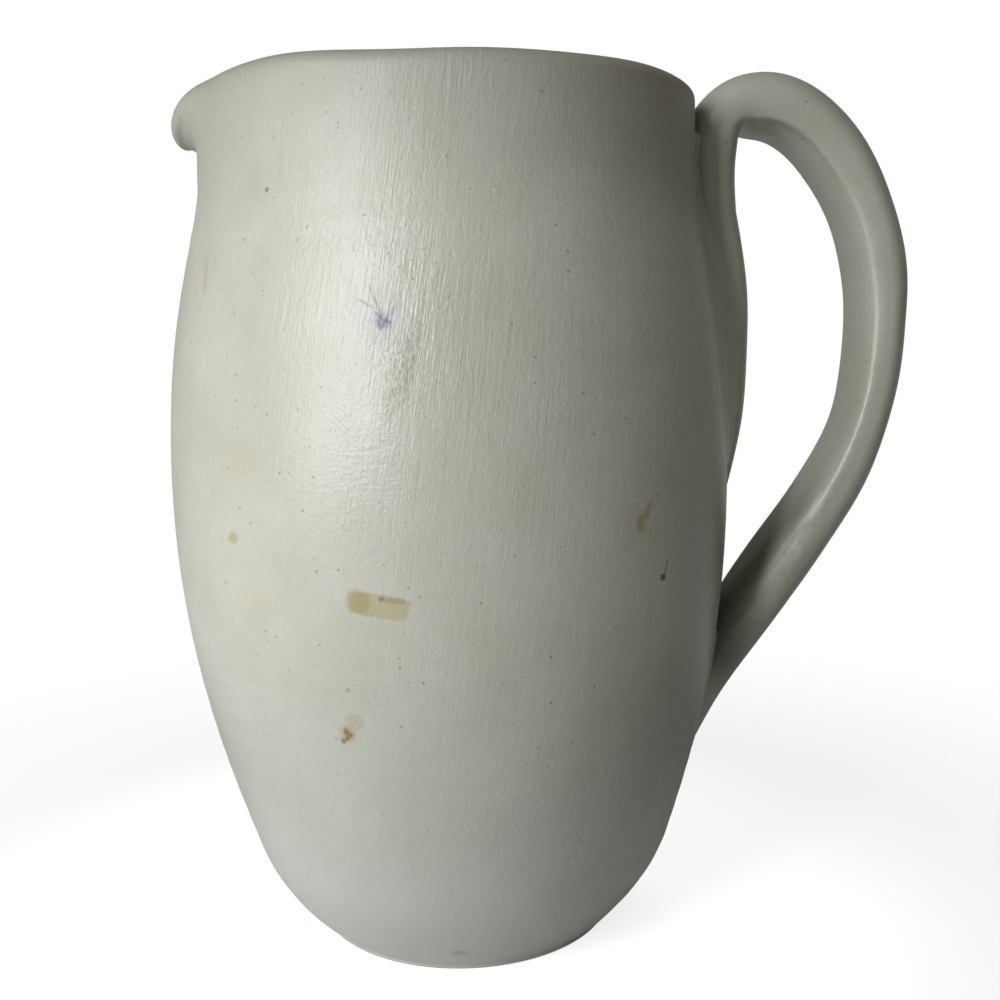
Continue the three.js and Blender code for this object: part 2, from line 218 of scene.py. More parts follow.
def fan_faces(first, columns, centre, facing_start):
    """Triangles from a ring of points to one point in its middle."""
    j = np.arange(columns)
    k = (j + 1) % columns
    ring = [first + k, first + j] if facing_start else [first + j, first + k]
    return np.stack([np.full(columns, centre), *ring], axis=-1)


def piece(name, points, faces):
    """A smooth-shaded object from points in millimetres."""
    mesh = bpy.data.meshes.new(name)
    mesh.from_pydata((np.asarray(points) * MM).tolist(), [], [f.tolist() for f in faces])
    mesh.polygons.foreach_set("use_smooth", [True] * len(mesh.polygons))
    mesh.update()
    made = bpy.data.objects.new(name, mesh)
    bpy.context.scene.collection.objects.link(made)
    return made


body_rows = len(profile)
body_middles = [[AXIS_LEAN, 0.0, FOOT_HOLLOW], [AXIS_LEAN, 0.0, FLOOR]]
body_flat = np.vstack([body_points.reshape(-1, 3), body_middles])
bottom_middle = body_rows * BODY_COLUMNS
body_faces = [*grid_faces(body_rows, BODY_COLUMNS),
              *fan_faces(0, BODY_COLUMNS, bottom_middle, True),
              *fan_faces((body_rows - 1) * BODY_COLUMNS, BODY_COLUMNS, bottom_middle + 1, False)]
body = piece("glazed_body", body_flat, body_faces)


def linear(code):
    """A colour written as sRGB hex, in linear light."""
    parts = [int(code[k:k + 2], 16) / 255.0 for k in (1, 3, 5)]
    return (*[c / 12.92 if c <= 0.04045 else ((c + 0.055) / 1.055) ** 2.4 for c in parts], 1.0)


def add(tree, kind, inputs=None, **settings):
    """Adds one node, sets it up and fills its sockets. A node given as an input is linked by its first
    output that is in use."""
    made = tree.nodes.new("ShaderNode" + kind)
    for key, value in settings.items():
        setattr(made, key, value)
    for key, value in (inputs or {}).items():
        if isinstance(value, bpy.types.Node):
            value = next(output for output in value.outputs if output.enabled)
        if isinstance(value, bpy.types.NodeSocket):
            tree.links.new(value, made.inputs[key])
        else:
            made.inputs[key].default_value = value
    return made


def satin_glaze(name):
    """Satin stoneware glaze: grey-white and faintly green, cloudy where it pooled, with pinholes, iron specks
    and a skin like orange peel. Returns the material, its place in mm, its colour and its relief in mm."""
    material = bpy.data.materials.new(name)
    material.use_nodes = True
    tree = material.node_tree
    tree.nodes.clear()
    place = add(tree, "TexCoord").outputs["Object"]
    spot = add(tree, "VectorMath", {0: place, "Scale": 1.0 / MM}, operation="SCALE")

    # Clouds about 20 mm wide, and a grain under 1 mm
    clouds = add(tree, "TexNoise", {"Vector": spot, "Scale": 1.0 / 20.0, "Detail": 4.0, "Roughness": 0.55})
    tone = add(tree, "ValToRGB", {0: clouds})
    for stop, position, code in zip(tone.color_ramp.elements, (0.3, 0.7), ("#c6c6b9", "#d0d1c6")):
        stop.position = position
        stop.color = linear(code)
    grain = add(tree, "TexNoise", {"Vector": spot, "Scale": 1.0 / 0.9, "Detail": 3.0, "Roughness": 0.6})
    grain_shade = add(tree, "MapRange", {0: grain, 1: 0.25, 2: 0.75, 3: 0.94, 4: 1.03})
    colour = add(tree, "VectorMath", {0: tone, "Scale": grain_shade}, operation="SCALE")

    # Iron specks of 0.3 to 0.8 mm, about one to a square centimetre where the surface cuts their cells
    SPECK_CELL = 2.4
    cells = add(tree, "TexVoronoi", {"Vector": spot, "Scale": 1.0 / SPECK_CELL})
    luck = add(tree, "SeparateColor", {0: cells.outputs["Color"]})
    size = add(tree, "MapRange", {0: luck.outputs["Red"], 1: 0.45, 2: 1.0, 3: 0.0, 4: 0.48 / SPECK_CELL})
    specks = add(tree, "MapRange", {0: cells, 1: size, 2: 0.0, 3: 0.0, 4: 0.9})
    specks = add(tree, "Math", {0: specks, 1: 0.5}, operation="MINIMUM")
    colour = add(tree, "Mix", {0: specks, 6: colour, 7: linear("#68645a")}, data_type="RGBA")

    # Pinholes of 0.4 mm where gas came out in the firing
    HOLE_CELL = 3.6
    holes = add(tree, "TexVoronoi", {"Vector": spot, "Scale": 1.0 / HOLE_CELL})
    luck = add(tree, "SeparateColor", {0: holes.outputs["Color"]})
    size = add(tree, "MapRange", {0: luck.outputs["Green"], 1: 0.65, 2: 1.0, 3: 0.0, 4: 0.26 / HOLE_CELL})
    hollow = add(tree, "MapRange", {0: holes, 1: size, 2: 0.0, 3: 0.0, 4: 1.0})
    hole_shade = add(tree, "Math", {0: hollow, 1: 0.4}, operation="MULTIPLY")
    colour = add(tree, "Mix", {0: hole_shade, 6: colour, 7: linear("#8a8678")}, data_type="RGBA")
    peel = add(tree, "TexNoise", {"Vector": spot, "Scale": 1.0 / 1.2, "Detail": 2.0})
    skin = add(tree, "Math", {0: peel, 1: 0.075}, operation="MULTIPLY")
    relief = add(tree, "Math", {0: hollow, 1: -0.1, 2: skin}, operation="MULTIPLY_ADD")
    return material, spot, colour, relief


def coat(material, spot, colour, relief, rough_low, rough_high, dull=0.0):
    """Finishes a glaze: roughness that wanders a little and rises by dull, with relief and colour."""
    tree = material.node_tree
    wander = add(tree, "TexNoise", {"Vector": spot, "Scale": 1.0 / 6.0, "Detail": 3.0})
    rough = add(tree, "MapRange", {0: wander, 1: 0.3, 2: 0.7, 3: rough_low, 4: rough_high})
    rough = add(tree, "Math", {0: rough, 1: dull}, operation="ADD")
    bump = add(tree, "Bump", {"Height": relief, "Strength": 1.0, "Distance": MM})
    glaze = {"Base Color": colour, "Roughness": rough, "IOR": 1.68, "Normal": bump}
    add(tree, "OutputMaterial", {0: add(tree, "BsdfPrincipled", glaze)})


# Glazed stoneware wall: the glaze was brushed on upright, so fine slanted ridges run down it, and it dried
# rough on the upper front. Chance marks lie on it: a cobalt smudge, buff and rust stains, and ripples where
# fingers held it while it was wet.
wall_glaze, spot, colour, relief = satin_glaze("brushed_satin_glaze_on_stoneware")
tree = wall_glaze.node_tree
MEAN_RADIUS = 67.0
axes = add(tree, "SeparateXYZ", {0: spot})
height = axes.outputs["Z"]
minus_x = add(tree, "Math", {0: axes.outputs["X"], 1: -1.0}, operation="MULTIPLY")
minus_y = add(tree, "Math", {0: axes.outputs["Y"], 1: -1.0}, operation="MULTIPLY")
from_lip_turn = add(tree, "Math", {0: minus_y, 1: minus_x}, operation="ARCTAN2")
arc = add(tree, "Math", {0: from_lip_turn, 1: MEAN_RADIUS}, operation="MULTIPLY")
unrolled = add(tree, "CombineXYZ", {0: arc, 1: height})

# Brush ridges: hairs 0.45 mm apart in strokes 1.3 and 4 mm wide, leaning 8 degrees to the handle as they rise
STROKE_LEAN = math.radians(8.0)
HAIR_HEIGHT = 0.1
leaning = add(tree, "VectorRotate", {"Vector": unrolled, "Angle": STROKE_LEAN}, rotation_type="Z_AXIS")
ridges = 0.0
for hair_width, hair_length in ((0.45, 7.0), (1.3, 24.0), (4.0, 60.0)):
    stretch = (1.0 / hair_width, 1.0 / hair_length, 1.0)
    stretched = add(tree, "VectorMath", {0: leaning, 1: stretch}, operation="MULTIPLY")
    hairs = add(tree, "TexNoise", {"Vector": stretched, "Scale": 1.0, "Detail": 2.0, "Roughness": 0.6})
    ridges = add(tree, "Math", {0: hairs, 1: HAIR_HEIGHT, 2: ridges}, operation="MULTIPLY_ADD")
# A few single raised lines between the strokes, where a noise drawn out upright crosses one value
drawn = add(tree, "VectorMath", {0: leaning, 1: (1.0 / 6.0, 1.0 / 30.0, 1.0)}, operation="MULTIPLY")
contours = add(tree, "TexNoise", {"Vector": drawn, "Scale": 1.0, "Detail": 2.0, "Roughness": 0.6})
off_line = add(tree, "Math", {0: contours, 1: 0.56}, operation="SUBTRACT")
off_line = add(tree, "Math", {0: off_line}, operation="ABSOLUTE")
line_height = {0: off_line, 1: 0.02, 2: 0.0, 3: 0.0, 4: 0.024}
lines = add(tree, "MapRange", line_height, interpolation_type="SMOOTHSTEP")
ridges = add(tree, "Math", {0: ridges, 1: lines}, operation="ADD")
patches = add(tree, "TexNoise", {"Vector": unrolled, "Scale": 1.0 / 34.0, "Detail": 1.0})
patch_share = add(tree, "MapRange", {0: patches, 1: 0.35, 2: 0.65, 3: 0.5, 4: 1.1})
# Ridges and a fine grit are strongest on the upper front, and fade to the handle, the lip and the foot
rough_share = add(tree, "MapRange", {0: arc, 1: 100.0, 2: 136.0, 3: 1.0, 4: 0.28})
lip_fade = add(tree, "MapRange", {0: arc, 1: 55.0, 2: 76.0, 3: 0.75, 4: 1.05})
foot_fade = add(tree, "MapRange", {0: height, 1: 60.0, 2: 135.0, 3: 0.35, 4: 1.0})
for fade in (lip_fade, foot_fade):
    rough_share = add(tree, "Math", {0: rough_share, 1: fade}, operation="MULTIPLY")
grit = add(tree, "TexNoise", {"Vector": spot, "Scale": 1.0 / 0.7, "Detail": 2.0, "Roughness": 0.6})
brushed = add(tree, "Math", {0: ridges, 1: patch_share}, operation="MULTIPLY")
brushed = add(tree, "Math", {0: grit, 1: 0.07, 2: brushed}, operation="MULTIPLY_ADD")
relief = add(tree, "Math", {0: brushed, 1: rough_share, 2: relief}, operation="MULTIPLY_ADD")
# The glaze is paler on the ridges than between them
thickness = add(tree, "MapRange", {0: ridges, 1: 0.11, 2: 0.19, 3: 0.982, 4: 1.012})
colour = add(tree, "VectorMath", {0: colour, "Scale": thickness}, operation="SCALE")

# A wavering of the marks' edges, about 2 mm wide
waver = add(tree, "TexNoise", {"Vector": unrolled, "Scale": 1.0 / 2.2, "Detail": 5.0, "Roughness": 0.65})


def mark(turn_degrees, height, half_width, half_height, tilt_degrees, softness, ragged, power=2.0):
    """How much of a mark covers the wall: turn is from the lip round by the front, sizes are in mm."""
    centre = (math.radians(turn_degrees) * MEAN_RADIUS, height, 0.0)
    tilt = math.radians(-tilt_degrees)
    apart = add(tree, "VectorMath", {0: unrolled, 1: centre}, operation="SUBTRACT")
    turned = add(tree, "VectorRotate", {"Vector": apart, "Angle": tilt}, rotation_type="Z_AXIS")
    to_edge = (1.0 / half_width, 1.0 / half_height, 0.0)
    scaled = add(tree, "VectorMath", {0: turned, 1: to_edge}, operation="MULTIPLY")
    size = add(tree, "VectorMath", {0: scaled}, operation="ABSOLUTE")
    raised = add(tree, "VectorMath", {0: size, 1: (power, power, 1.0)}, operation="POWER")
    total = add(tree, "VectorMath", {0: raised, 1: (1.0, 1.0, 0.0)}, operation="DOT_PRODUCT")
    distance = add(tree, "Math", {0: total, 1: 1.0 / power}, operation="POWER")
    edge = add(tree, "Math", {0: waver, 1: ragged, 2: distance}, operation="MULTIPLY_ADD")
    rim = 1.0 + ragged * 0.5
    fading = {0: edge, 1: rim + softness, 2: rim - softness, 3: 0.0, 4: 1.0}
    return add(tree, "MapRange", fading, interpolation_type="SMOOTHSTEP")


def tint(colour, cover, amount, code):
    """The colour with a stain over it, as strong as amount where the mark covers it."""
    strength = add(tree, "Math", {0: cover, 1: amount}, operation="MULTIPLY")
    return add(tree, "Mix", {0: strength, 6: colour, 7: linear(code)}, data_type="RGBA")


# Buff bar stain on the lower belly, olive at its left end and along its upper edge
colour = tint(colour, mark(76.6, 95.6, 6.2, 2.5, -7.0, 0.12, 0.35, 4.0), 0.72, "#b9b183")
colour = tint(colour, mark(72.8, 96.4, 2.4, 2.4, -7.0, 0.35, 0.5, 3.0), 0.6, "#a39566")
colour = tint(colour, mark(79.2, 96.8, 2.7, 0.6, -7.0, 0.6, 0.9), 0.38, "#857d55")
colour = tint(colour, mark(77.0, 97.2, 0.6, 0.5, 0.0, 0.5, 0.9), 0.55, "#6c6747")
# Rust: a ragged ochre stain with dark grains in it, a buff disc above it and two pale specks beside it
colour = tint(colour, mark(70.2, 69.8, 2.1, 2.1, 0.0, 0.16, 0.3), 0.42, "#b5ac84")
colour = tint(colour, mark(68.5, 66.8, 1.9, 1.8, 0.0, 0.5, 1.7), 0.7, "#c2a04a")
RUST_GRAINS = ((68.2, 67.2, 0.8), (69.0, 66.6, 0.6), (67.4, 65.0, 0.6), (68.3, 65.8, 0.5))
for turn_degrees, up, half_size in RUST_GRAINS:
    colour = tint(colour, mark(turn_degrees, up, half_size, half_size, 0.0, 0.6, 1.5), 0.75, "#6d4f12")
colour = tint(colour, mark(65.9, 65.4, 0.5, 0.6, 0.0, 0.6, 0.6), 0.35, "#8f897a")
colour = tint(colour, mark(69.6, 77.0, 0.5, 0.6, 0.0, 0.5, 0.5), 0.5, "#857f6c")
# Cobalt smudge, where a blue brush touched the glaze: a haze, crossed dark dashes and two scratches above it
colour = tint(colour, mark(78.0, 153.2, 4.4, 4.6, 0.0, 0.9, 1.0), 0.3, "#979ab8")
colour = tint(colour, mark(78.2, 153.0, 1.3, 1.5, 30.0, 0.6, 1.8), 0.6, "#565b8a")
DASHES = ((77.7, 153.9, 1.5, 42.0), (78.5, 152.7, 1.5, -30.0),
          (78.9, 153.1, 1.2, 70.0), (77.6, 152.2, 1.0, 10.0))
for turn_degrees, up, half_length, tilt in DASHES:
    colour = tint(colour, mark(turn_degrees, up, 0.3, half_length, tilt, 0.6, 1.0), 0.6, "#40446c")
for turn_degrees, up, half_length, tilt in ((76.9, 157.0, 3.4, 24.0), (75.2, 156.6, 2.2, 62.0)):
    colour = tint(colour, mark(turn_degrees, up, 0.26, half_length, tilt, 0.7, 1.2), 0.5, "#74736f")
# Rough smear below the smudge, lumpy, buff and grey
smear = mark(81.0, 143.5, 2.4, 7.8, -14.0, 0.7, 1.4)
colour = tint(colour, smear, 0.35, "#a59d8d")
lumps = add(tree, "TexNoise", {"Vector": unrolled, "Scale": 1.0 / 1.3, "Detail": 3.0, "Roughness": 0.6})
lump_height = add(tree, "Math", {0: lumps, 1: 0.34}, operation="MULTIPLY")
relief = add(tree, "Math", {0: lump_height, 1: smear, 2: relief}, operation="MULTIPLY_ADD")
# Buff spots and streaks towards the lip, and a crescent towards the handle
colour = tint(colour, mark(46.7, 107.9, 1.7, 1.3, 20.0, 0.4, 0.9), 0.65, "#b5a36c")
colour = tint(colour, mark(49.5, 124.3, 5.0, 4.0, 30.0, 0.7, 0.8), 0.22, "#c0b68f")
colour = tint(colour, mark(51.0, 94.7, 6.0, 4.0, 0.0, 0.8, 0.8), 0.16, "#c2b88f")
colour = tint(colour, mark(34.4, 163.6, 1.1, 4.0, 10.0, 0.6, 0.9), 0.4, "#b8ac84")
colour = tint(colour, mark(126.0, 112.6, 0.9, 2.3, -30.0, 0.35, 0.6), 0.75, "#aea368")
colour = tint(colour, mark(124.4, 109.8, 1.1, 2.0, 4.0, 0.35, 0.7), 0.75, "#a89b60")
# Dark specks
colour = tint(colour, mark(130.5, 97.3, 0.85, 0.8, 0.0, 0.4, 0.6), 0.95, "#1f1d19")
colour = tint(colour, mark(131.3, 99.4, 0.3, 1.9, -14.0, 0.5, 0.5), 0.6, "#57544a")
colour = tint(colour, mark(52.2, 180.7, 0.55, 0.55, 0.0, 0.35, 0.5), 0.7, "#4a463e")
# Buff chip by the foot
colour = tint(colour, mark(88.4, 8.0, 3.0, 1.1, 0.0, 0.4, 0.8), 0.95, "#b59a70")

# Finger ripples: lines 1 mm apart where a fingertip lay, and fine level wrinkles below them
RIPPLE_SPACING = 1.0
RIPPLE_TILT = math.radians(42.0)
fingertip = mark(71.2, 133.6, 2.4, 2.8, 0.0, 0.5, 0.6)
skewed = add(tree, "VectorRotate", {"Vector": unrolled, "Angle": RIPPLE_TILT}, rotation_type="Z_AXIS")
ripples = add(tree, "TexWave", {"Vector": skewed, "Scale": 2.0 * math.pi / 20.0 / RIPPLE_SPACING,
                                "Distortion": 0.8, "Detail": 2.0, "Detail Scale": 1.0}, bands_direction="Y")
crest = add(tree, "Math", {0: ripples.outputs["Fac"], 1: 0.03}, operation="MULTIPLY")
relief = add(tree, "Math", {0: crest, 1: fingertip, 2: relief}, operation="MULTIPLY_ADD")
wrinkled = mark(76.0, 124.0, 9.0, 8.0, 0.0, 0.7, 0.8)
flattened = add(tree, "VectorMath", {0: unrolled, 1: (1.0 / 4.0, 1.0 / 0.9, 1.0)}, operation="MULTIPLY")
wrinkles = add(tree, "TexNoise", {"Vector": flattened, "Scale": 1.0, "Detail": 2.0})
wrinkle_height = add(tree, "Math", {0: wrinkles, 1: 0.09}, operation="MULTIPLY")
relief = add(tree, "Math", {0: wrinkle_height, 1: wrinkled, 2: relief}, operation="MULTIPLY_ADD")

# Painted shade: under the rim and on its edge the glaze is painted greyer, where less light falls. Towards
# the foot the glaze is cooler
RIM_SHADE_AND_FOOT_TONE = ((172.0, 206.0, 0.48, "#97948a"), (202.5, 208.0, 0.45, "#97948a"), (84.0, 24.0, 0.45, "#b4babb"))
for band_from, band_to, most, code in RIM_SHADE_AND_FOOT_TONE:
    tone_shift = add(tree, "MapRange", {0: height, 1: band_from, 2: band_to, 3: 0.0, 4: most})
    colour = add(tree, "Mix", {0: tone_shift, 6: colour, 7: linear(code)}, data_type="RGBA")
dull = add(tree, "MapRange", {0: height, 1: 165.0, 2: 200.0, 3: 0.0, 4: 0.22})

# Bare buff clay shows on the underside and in an uneven line around the foot
BARE_HEIGHT = 0.4
bare_edge = add(tree, "Math", {0: waver, 1: 1.4, 2: height}, operation="MULTIPLY_ADD")
bare = add(tree, "MapRange", {0: bare_edge, 1: BARE_HEIGHT + 1.0, 2: BARE_HEIGHT + 0.5, 3: 0.0, 4: 1.0})
clay_grit = add(tree, "TexNoise", {"Vector": spot, "Scale": 1.0 / 0.7, "Detail": 4.0, "Roughness": 0.7})
clay = add(tree, "Mix", {0: clay_grit, 6: linear("#a8906c"), 7: linear("#c9b493")}, data_type="RGBA")
colour = add(tree, "Mix", {0: bare, 6: colour, 7: clay}, data_type="RGBA")
coat(wall_glaze, spot, colour, relief, 0.28, 0.33, dull)

body.data.materials.append(wall_glaze)
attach(body, "root")
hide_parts("thrown_body")


# Strap handle: a strap pulled by hand from a second lump of the same clay, flat on the finger side and round
# on the back. It lies on the wall, arches over, bows out and comes down to the wall again.
STRAP_THICKNESS = 15.2
BOW_THICKNESS = 12.6
STRAP_BREADTH = 23.0
TIP_THICKNESS = 6.0
TIP_BREADTH = 17.0
UPPER_TIP_HEIGHT = 106.0
LOWER_TIP_HEIGHT = 36.0
TAIL_TOP_HEIGHT = 178.0
UPPER_TAPER = 120.0
LOWER_TAPER = 54.0
TIP_ROUND = 26.0
STRAP_STEP = 1.1
STRAP_SIDES = 144


def wall_radius(height):
    return np.interp(height, outer_line[:, 1], outer_line[:, 0])


def from_wall(height, stand_off):
    return np.array([wall_radius(height) + stand_off, height])


# Middle line of the strap, as (distance from the turning axis, height)
tail_heights = np.array([UPPER_TIP_HEIGHT, 142.0, TAIL_TOP_HEIGHT])
tail_places = np.array([from_wall(h, s)[0] for h, s in zip(tail_heights, (-4.2, 2.3, 3.6))])
tail_climb = np.linspace(UPPER_TIP_HEIGHT, TAIL_TOP_HEIGHT, 80)
tail = np.column_stack([np.polyval(np.polyfit(tail_heights, tail_places, 2), tail_climb), tail_climb])
tail_top = tail[-1]
arch = from_wall(205.5, 17.0)
bow = from_wall(157.0, 42.4)
root = from_wall(73.5, 6.2)
lower_tip = from_wall(LOWER_TIP_HEIGHT, -3.4)
root_way = np.array([1.0, 1.5]) / math.hypot(1.0, 1.5)
crook_rise = tail_top + [-3.8, (arch[1] - tail_top[1]) * 0.85]
crook = bezier([tail_top, crook_rise, arch - [(arch[0] - tail_top[0]) * 0.7, 0.0], arch], 60)
arch_reach = arch + [(bow[0] - arch[0]) * 0.54, 0.0]
upper_bow = bezier([arch, arch_reach, bow + [0.0, (arch[1] - bow[1]) * 0.45], bow], 80)
bow_fall = bow[1] - root[1]
lower_bow = bezier([bow, bow - [0.0, bow_fall * 0.48], root + root_way * bow_fall * 0.53, root], 100)
root_fall = root - root_way * (root[1] - LOWER_TIP_HEIGHT) * 0.4
strap_foot = bezier([root, root_fall, from_wall(51.0, 0.0), lower_tip], 50)
strap_line = spaced(np.vstack([tail, crook[1:], upper_bow[1:], lower_bow[1:], strap_foot[1:]]), STRAP_STEP)
strap_rows = len(strap_line)
way = np.gradient(strap_line, axis=0)
way /= np.hypot(way[:, 0], way[:, 1])[:, None]
along = np.linspace(0.0, STRAP_STEP * (strap_rows - 1), strap_rows)
strap_length = along[-1]

# Thickness and breadth along the strap: thin at both tips, slimmer at the bow, uneven as a hand pulls it
full = np.minimum(smooth(0.0, UPPER_TAPER, along), smooth(0.0, LOWER_TAPER, strap_length - along))
waist = np.sin(math.pi * np.clip((along / strap_length - 0.42) / 0.42, 0.0, 1.0)) ** 2
thickest = STRAP_THICKNESS + (BOW_THICKNESS - STRAP_THICKNESS) * waist
half_thick = (TIP_THICKNESS + (thickest - TIP_THICKNESS) * full) / 2.0
half_thick = half_thick + 0.14 * np.sin(along / 8.5 + 0.4) + 0.1 * np.sin(along / 4.3 + 1.9)
to_tip = np.minimum(along, 0.45 * (strap_length - along))
half_broad = (TIP_BREADTH + (STRAP_BREADTH - TIP_BREADTH) * smooth(0.0, TIP_ROUND, to_tip)) / 2.0
half_broad = half_broad + 0.25 * np.sin(along / 13.0 + 1.1) + 0.12 * np.sin(along / 5.7)

# Section: a soft D, flatter on the finger side, and roundest on its back past the arch
sides = np.linspace(0.0, 2.0 * math.pi, STRAP_SIDES, endpoint=False)[None, :]
arch_row = int(np.argmax(strap_line[:, 1]))
bow_row = arch_row + int(np.argmax(strap_line[arch_row:, 0]))
arch_along = along[arch_row]
bow_along = along[bow_row]
past_arch = smooth(arch_along - 25.0, arch_along + 15.0, along)[:, None]
bow_middle = np.exp(-((along - bow_along) / 26.0) ** 2)[:, None]
under_arch = np.exp(-((along - arch_along - 12.0) / 22.0) ** 2)[:, None]
finger_side = 0.84 - 0.18 * past_arch - 0.14 * under_arch + 0.06 * bow_middle
fullness = np.where(np.cos(sides) > 0.0, finger_side, 0.72 + 0.22 * past_arch)
thick = half_thick[:, None] * np.sign(np.cos(sides)) * np.abs(np.cos(sides)) ** fullness
broad = half_broad[:, None] * np.sign(np.sin(sides)) * np.abs(np.sin(sides)) ** fullness
# Where the strap turns over into the arch it is pinched, most on the finger side
crook_row = int(np.argmin(np.abs(way[:arch_row, 0] - way[:arch_row, 1])))
pinch = np.exp(-((along - along[crook_row]) / 5.5) ** 2)[:, None]
thick = thick * (1.0 - pinch * np.where(np.cos(sides) > 0.0, 0.22, 0.04))
# Under the arch the near face folds over the finger side, which lies a little deeper
fold_start = arch_along - 14.0
fold_end = fold_start + 62.0
fold = smooth(fold_start, fold_start + 14.0, along) * (1.0 - smooth(fold_end - 28.0, fold_end, along))
off_finger_side = np.degrees(2.0 * math.pi - sides)
deeper = smooth(64.0, 42.0, off_finger_side) * smooth(2.0, 34.0, off_finger_side)
dent = 0.085 * fold[:, None] * deeper
# A thin wavering ridge on the same edge, from the bow down to the lower end
ridge_run = smooth(bow_along + 5.0, bow_along + 35.0, along) * smooth(0.0, 40.0, strap_length - along - 10.0)
ridge_run = ridge_run * (0.7 + 0.2 * np.sin(along / 3.1) + 0.1 * np.sin(along / 1.7 + 0.5))
ridge_turn = 63.0 + 20.0 * smooth(bow_along + 10.0, bow_along + 75.0, along)
ridge_turn = ridge_turn + 2.5 * np.sin(along / 9.0) + 1.2 * np.sin(along / 3.7 + 1.0)
ridge_side = 2.0 * math.pi - np.radians(ridge_turn)
ridge = 0.04 * ridge_run[:, None] * np.exp(-((sides - ridge_side[:, None]) / 0.15) ** 2)
thick = thick * (1.0 - dent + ridge)
broad = broad * (1.0 - dent + ridge)
strap_x = strap_line[:, :1] + way[:, 1:] * thick
strap_z = strap_line[:, 1:] - way[:, :1] * thick
# The side that lies on the wall stays inside the wall's thickness and clear of the mouth
sink = 4.6 - 3.9 * smooth(192.0, 203.0, strap_z)
wall_x = np.sqrt(np.maximum(wall_radius(strap_z) ** 2 - broad ** 2, 0.0))
strap_x = np.maximum(strap_x, wall_x - sink)
strap_points = np.stack([strap_x, broad, strap_z], axis=-1)
strap_ends = [strap_points[0].mean(axis=0), strap_points[-1].mean(axis=0)]
strap_flat = np.vstack([strap_points.reshape(-1, 3), strap_ends])
strap_first = strap_rows * STRAP_SIDES
strap_faces = [*grid_faces(strap_rows, STRAP_SIDES),
               *fan_faces(0, STRAP_SIDES, strap_first, True),
               *fan_faces((strap_rows - 1) * STRAP_SIDES, STRAP_SIDES, strap_first + 1, False)]
strap = piece("glazed_strap_handle", strap_flat, strap_faces)

# Each point's place on the strap as if it lay straight: through it, across it and along it, in mm
strap_place = np.stack([thick, broad, np.repeat(along[:, None], STRAP_SIDES, axis=1)], axis=-1).reshape(-1, 3)
strap_place = np.vstack([strap_place, [[0.0, 0.0, 0.0], [0.0, 0.0, strap_length]]])
straightened = strap.data.attributes.new("strap_place", "FLOAT_VECTOR", "POINT")
straightened.data.foreach_set("vector", strap_place.astype(np.float32).ravel())
# How near each point lies to the thin ridge, which carries the painted highlight
ridge_share = np.append((ridge / ridge.max()).ravel(), [0.0, 0.0])
# Painted shade: how deep each point lies in the corner to the wall, at the lower end, up its finger side and
# under the arch, where the wall shades the strap
point_height = strap_flat[:, 2]
off_wall = np.hypot(strap_flat[:, 0], strap_flat[:, 1]) - wall_radius(point_height)
above_root = smooth(55.0, 69.0, point_height)
root_corner = smooth(13.0, 1.0, off_wall) * above_root * smooth(98.0, 80.0, point_height)
finger_share = np.repeat(smooth(0.05, 0.95, np.cos(sides)), strap_rows, axis=0)
finger_share = np.append(finger_share.ravel(), [0.0, 0.0])
finger_corner = 0.85 * finger_share * smooth(28.0, 8.0, off_wall)
finger_corner = finger_corner * above_root * smooth(128.0, 98.0, point_height)
arch_corner = 0.5 * smooth(2.2, 0.3, off_wall) * smooth(164.0, 180.0, point_height)
painted_corner_shade = np.maximum(np.maximum(root_corner, finger_corner), arch_corner)
for name, values in (("ridge_share", ridge_share), ("painted_corner_shade", painted_corner_shade)):
    strap.data.attributes.new(name, "FLOAT", "POINT").data.foreach_set("value", values.astype(np.float32))

# Glazed stoneware strap: the same satin glaze over the long fine lines that a wet hand leaves in pulling
strap_glaze, spot, colour, relief = satin_glaze("satin_glaze_on_pulled_strap")
tree = strap_glaze.node_tree
strap_spot = add(tree, "Attribute", attribute_name="strap_place").outputs["Vector"]
drawn = add(tree, "VectorMath", {0: strap_spot, 1: (1.0 / 1.5, 1.0 / 1.5, 1.0 / 40.0)}, operation="MULTIPLY")
pull_lines = add(tree, "TexNoise", {"Vector": drawn, "Scale": 1.0, "Detail": 2.0})
relief = add(tree, "Math", {0: pull_lines, 1: 0.05, 2: relief}, operation="MULTIPLY_ADD")
lumps = add(tree, "TexNoise", {"Vector": spot, "Scale": 1.0 / 7.0, "Detail": 1.0})
relief = add(tree, "Math", {0: lumps, 1: 0.18, 2: relief}, operation="MULTIPLY_ADD")
# Painted highlight: the ridge is painted paler in a broken line, where the lamps' glint runs along it
broken = add(tree, "TexNoise", {"Vector": spot, "Scale": 1.0 / 2.5, "Detail": 3.0, "Roughness": 0.6})
broken = add(tree, "MapRange", {0: broken, 1: 0.35, 2: 0.6, 3: 0.4, 4: 1.0})
painted_ridge_glint = add(tree, "Attribute", attribute_name="ridge_share").outputs["Fac"]
painted_ridge_glint = add(tree, "Math", {0: painted_ridge_glint, 1: broken}, operation="MULTIPLY")
colour = add(tree, "Mix", {0: painted_ridge_glint, 6: colour, 7: linear("#f0f0e6")}, data_type="RGBA")
# Painted shade: in the corners to the wall the strap is painted dark and made a little rougher, where the
# wall shades it
corner = add(tree, "Attribute", attribute_name="painted_corner_shade").outputs["Fac"]
cover = add(tree, "Math", {0: corner, 1: 0.8}, operation="MULTIPLY")
colour = add(tree, "Mix", {0: cover, 6: colour, 7: linear("#4e4a40")}, data_type="RGBA")
corner_dulling = add(tree, "Math", {0: corner, 1: 0.4}, operation="MULTIPLY")
coat(strap_glaze, spot, colour, relief, 0.29, 0.36, corner_dulling)

strap.data.materials.append(strap_glaze)
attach(strap, "root")
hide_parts("strap_handle")


